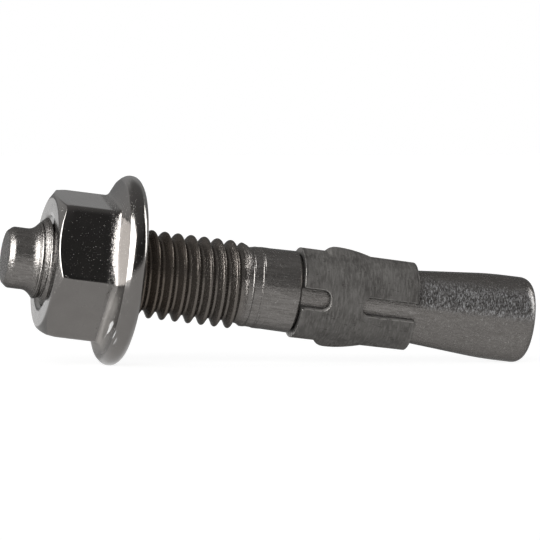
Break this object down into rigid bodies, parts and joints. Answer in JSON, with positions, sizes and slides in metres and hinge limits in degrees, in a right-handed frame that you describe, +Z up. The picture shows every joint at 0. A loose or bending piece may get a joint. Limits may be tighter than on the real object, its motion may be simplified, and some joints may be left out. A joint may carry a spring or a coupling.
{
  "type": "wedge anchor",
  "caption": "Steel expansion bolt with a threaded stud, a hexagon flange nut and a split sleeve that a cone spreads in a drilled hole.",
  "frame": {"origin": "middle of the base of the part's box, on the surface that it lies on", "axes": "+X from the drive point towards the cone end, +Z up, -Y the side that the picture shows"},
  "size_m": [0.0604, 0.021, 0.0211],
  "materials": {
    "stud_steel": "cold formed stainless steel, mottled on shank and cone",
    "nut_steel": "bright stainless steel, lightly scratched on the flange",
    "sleeve_steel": "satin stainless sheet"
  },
  "bodies": {
    "stud": {"stud": "stud_steel"},
    "expansion_sleeve": {"expansion_sleeve": "sleeve_steel"},
    "flange_nut": {"flange_nut": "nut_steel"}
  },
  "joints": [
    {"name": "nut_and_sleeve_turn", "type": "hinge", "parent": "stud", "child": "expansion_sleeve", "pos_m": [0.00988, 0, 0.0071], "axis": [0.9921, 0, -0.1253], "range_deg": [-2165, 2705]},
    {"name": "nut_travel", "type": "slide", "parent": "expansion_sleeve", "child": "flange_nut", "axis": [0.9921, 0, -0.1253], "range_m": [-0.009, 0.01125]}
  ],
  "couplings": [
    {"joint": "nut_and_sleeve_turn", "follows": "nut_travel", "rad_per_m": 4188.8}
  ]
}
